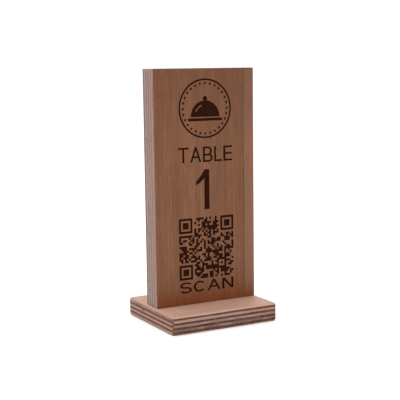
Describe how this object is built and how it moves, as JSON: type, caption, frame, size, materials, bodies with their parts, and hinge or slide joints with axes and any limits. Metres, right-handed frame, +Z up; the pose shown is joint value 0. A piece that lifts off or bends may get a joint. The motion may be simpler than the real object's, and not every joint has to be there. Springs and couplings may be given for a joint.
{
  "type": "table number holder",
  "caption": "Free-standing plywood table number holder: an engraved upright panel glued and screwed to a flat base, for marking a table at a restaurant or reception.",
  "frame": {"origin": "middle of the base's underside", "axes": "+Z up, +X to the right along the engraved face, the engraved face looks along -Y"},
  "size_m": [0.095, 0.082, 0.205],
  "materials": {
    "base_long_grain": "beech ply seen along its grain, sanded and oiled",
    "base_end_grain": "beech ply seen on its end grain, sanded and oiled",
    "base_top_veneer": "beech face veneer, satin lacquer",
    "engraved_veneer": "beech face veneer, satin lacquer, laser engraved",
    "upright_long_grain": "beech ply seen along its grain, sanded and oiled",
    "upright_end_grain": "beech ply seen on its end grain, sanded and oiled",
    "back_veneer": "beech face veneer, satin lacquer",
    "screw_zinc": "zinc plated"
  },
  "bodies": {
    "root": {"base_bottom_veneer": "base_long_grain", "base_core_ply_1": "base_end_grain", "base_core_ply_2": "base_long_grain", "base_core_ply_3": "base_end_grain", "base_core_ply_4": "base_long_grain", "base_core_ply_5": "base_end_grain", "base_core_ply_6": "base_long_grain", "base_core_ply_7": "base_end_grain", "base_top_veneer": "base_top_veneer", "upright_front_veneer": "engraved_veneer", "upright_core_ply_1": "upright_end_grain", "upright_core_ply_2": "upright_long_grain", "upright_core_ply_3": "upright_end_grain", "upright_core_ply_4": "upright_long_grain", "upright_core_ply_5": "upright_end_grain", "upright_core_ply_6": "upright_long_grain", "upright_core_ply_7": "upright_end_grain", "upright_core_ply_8": "upright_long_grain", "upright_core_ply_9": "upright_end_grain", "upright_back_veneer": "back_veneer", "screw_left": "screw_zinc", "screw_right": "screw_zinc"}
  },
  "joints": []
}
